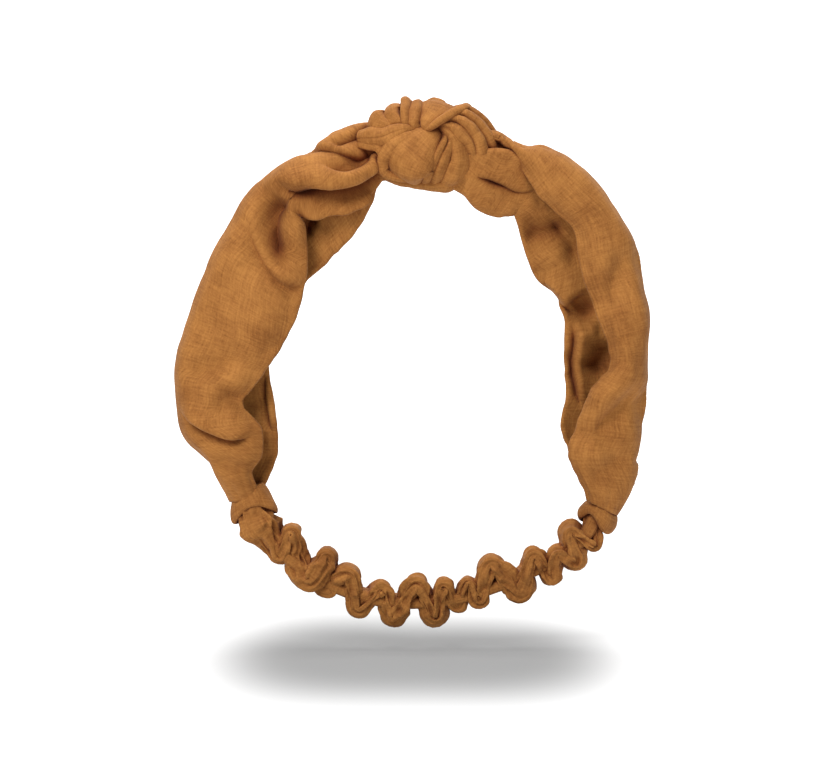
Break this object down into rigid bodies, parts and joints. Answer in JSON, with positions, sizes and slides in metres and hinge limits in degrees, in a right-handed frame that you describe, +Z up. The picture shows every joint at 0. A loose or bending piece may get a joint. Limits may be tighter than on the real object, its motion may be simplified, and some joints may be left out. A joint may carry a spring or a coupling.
{
  "type": "knotted headband",
  "caption": "Soft fabric headband knotted over the crown, with a gathered elastic casing at the nape.",
  "frame": {"origin": "centre of the opening that the head goes through, halfway through the band's depth", "axes": "+Z up to the knot over the crown, +X to the right of the band seen from the front, -Y towards the viewer along the loop's axis"},
  "size_m": [0.1847, 0.0336, 0.2021],
  "materials": {
    "cloth": "woven, matt",
    "elastic": "knitted, matt",
    "thread": "spun polyester"
  },
  "bodies": {
    "front_wrap": {"left_wing": "cloth", "right_wing": "cloth", "left_end_hem": "cloth", "right_end_hem": "cloth", "knot_core": "cloth", "knot_front_wrap": "cloth", "knot_top_wrap": "cloth", "knot_left_wrap": "cloth", "knot_right_wrap": "cloth", "knot_under_pass": "cloth", "knot_bottom_tuck": "cloth", "left_wing_seam": "thread", "right_wing_seam": "thread", "left_joint_stitches": "thread", "right_joint_stitches": "thread"},
    "elastic_back": {"elastic_casing": "cloth", "elastic_strip": "elastic", "casing_seam": "thread"}
  },
  "joints": [
    {"name": "elastic_stretch", "type": "slide", "parent": "front_wrap", "child": "elastic_back", "axis": [0, 0, -1], "range_m": [0, 0.055], "stiffness_N_per_m": 80, "deforming": ["elastic_casing", "elastic_strip", "casing_seam"]}
  ]
}
